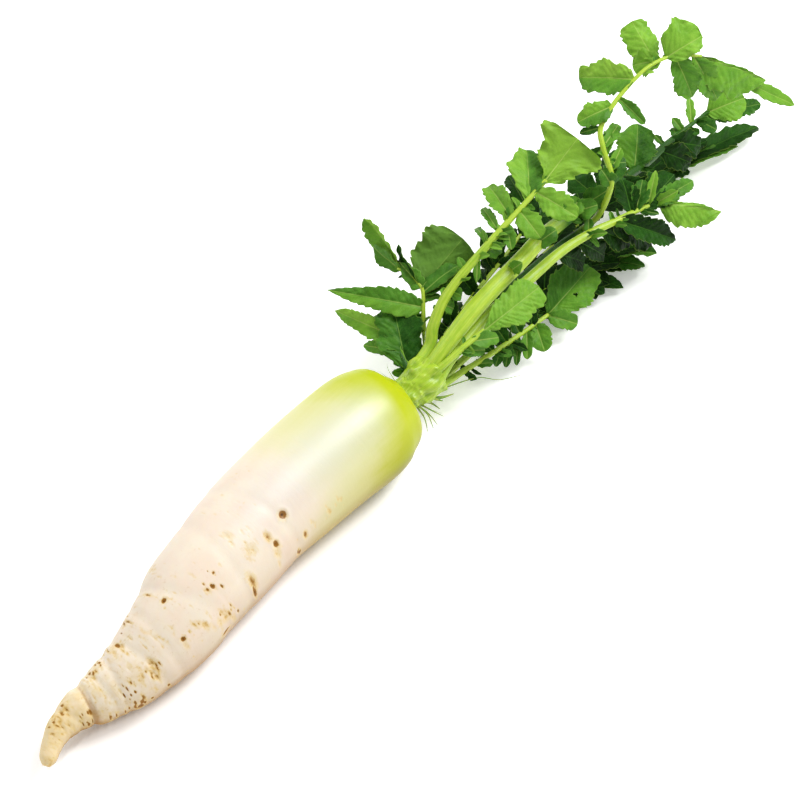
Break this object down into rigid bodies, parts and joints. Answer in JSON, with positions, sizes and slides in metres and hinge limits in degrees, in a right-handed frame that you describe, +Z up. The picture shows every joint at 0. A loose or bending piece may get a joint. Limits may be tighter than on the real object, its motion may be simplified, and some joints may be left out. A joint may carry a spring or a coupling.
{
  "type": "daikon radish",
  "caption": "Long white daikon radish lying on its side: tapered root with a green shoulder and crooked tail, short knobby crown and a fan of lobed green leaves.",
  "frame": {"origin": "middle of the narrow flat on the underside of the root, on the surface that it rests on", "axes": "+X along the root from the tail to the crown and the leaves, +Z up from the surface"},
  "size_m": [0.6773, 0.1603, 0.1531],
  "materials": {
    "root_skin": "smooth waxy skin, glossy at the green shoulder, dull and wrinkled at the tail",
    "crown_stem": "moist ribbed stem",
    "leaf_green": "thin soft leaf, half matt, pale ribs"
  },
  "bodies": {
    "root": {"taproot": "root_skin", "crown": "crown_stem", "leaf_upright": "leaf_green", "leaf_central": "leaf_green", "leaf_arched": "leaf_green", "leaf_right": "leaf_green", "leaf_short": "leaf_green", "leaf_low_right": "leaf_green", "leaf_left_near": "leaf_green", "leaf_left_far": "leaf_green", "leaf_under": "leaf_green", "leaf_floor_far": "leaf_green", "leaf_floor_right": "leaf_green"}
  },
  "joints": []
}
